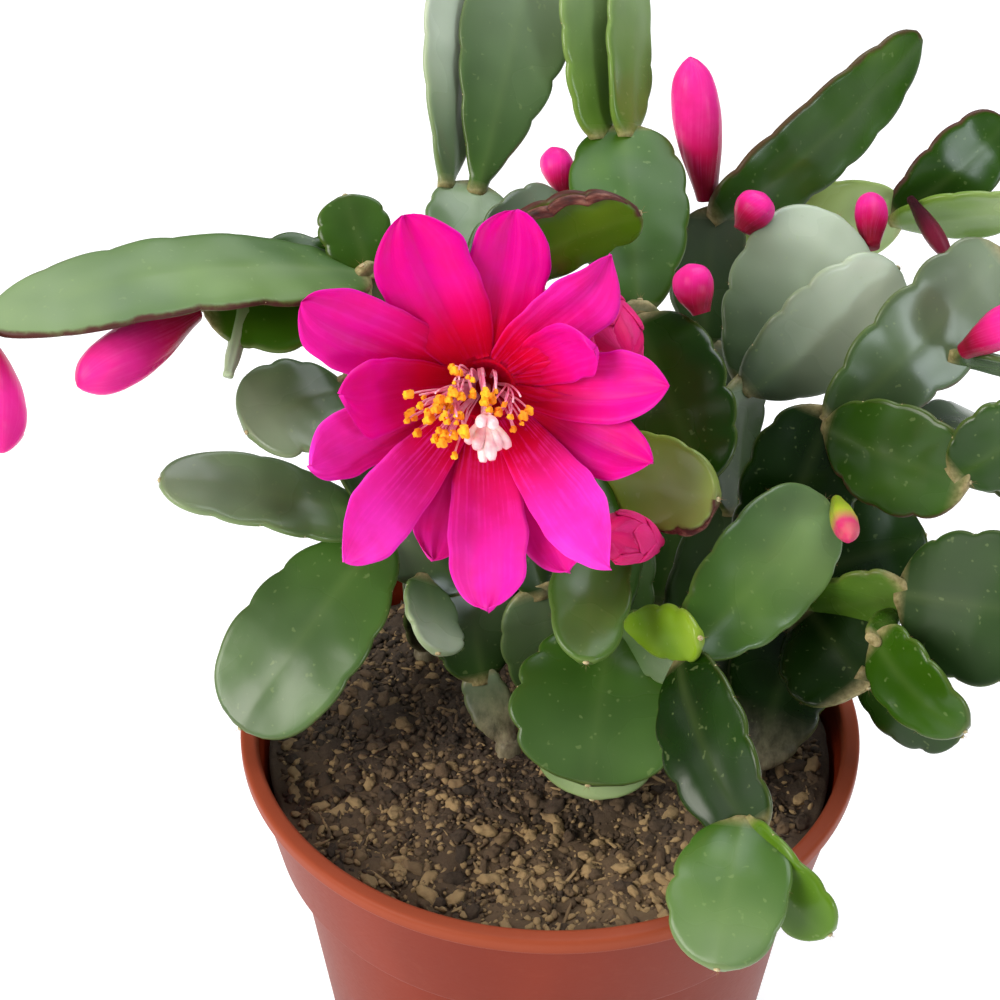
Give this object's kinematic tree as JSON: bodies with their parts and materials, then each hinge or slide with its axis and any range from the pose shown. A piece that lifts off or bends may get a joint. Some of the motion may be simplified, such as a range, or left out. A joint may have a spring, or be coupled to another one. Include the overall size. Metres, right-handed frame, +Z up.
{
  "type": "potted easter cactus",
  "caption": "Houseplant of flat scalloped leafless pads with an open star-shaped flower and buds, planted in a round plastic nursery pot.",
  "frame": {"origin": "middle of the pot's flat underside, on the floor plane", "axes": "+Z up along the pot's axis; the open flower faces -Y; +X to the flower's viewer's right"},
  "size_m": [0.1849, 0.1689, 0.1972],
  "materials": {
    "pot_plastic": "satin",
    "compost": "matte, moist potting compost",
    "pad_skin": "satin waxy skin of a succulent pad",
    "bud_skin": "satin petal skin",
    "petal": "soft petal skin",
    "anther": "powdery pollen",
    "stigma": "soft, slightly moist"
  },
  "bodies": {
    "root": {"bud_beside_flower": "bud_skin", "bud_far_left": "bud_skin", "bud_far_right": "bud_skin", "bud_green": "bud_skin", "bud_left": "bud_skin", "bud_right_joint": "bud_skin", "bud_round_lower": "bud_skin", "bud_round_upper": "bud_skin", "bud_small": "bud_skin", "bud_tall": "bud_skin", "bud_top_left": "bud_skin", "bud_under_flower": "bud_skin", "flower_petals": "petal", "flower_pistil": "stigma", "flower_stamens": "anther", "pot": "pot_plastic", "soil": "compost", "stem_back": "pad_skin", "stem_flower": "pad_skin", "stem_front": "pad_skin", "stem_left_arm": "pad_skin", "stem_left_low": "pad_skin", "stem_middle": "pad_skin", "stem_pale": "pad_skin", "stem_rear_left": "pad_skin", "stem_rear_middle": "pad_skin", "stem_rear_right": "pad_skin", "stem_right": "pad_skin", "stem_right_low": "pad_skin"}
  },
  "joints": []
}
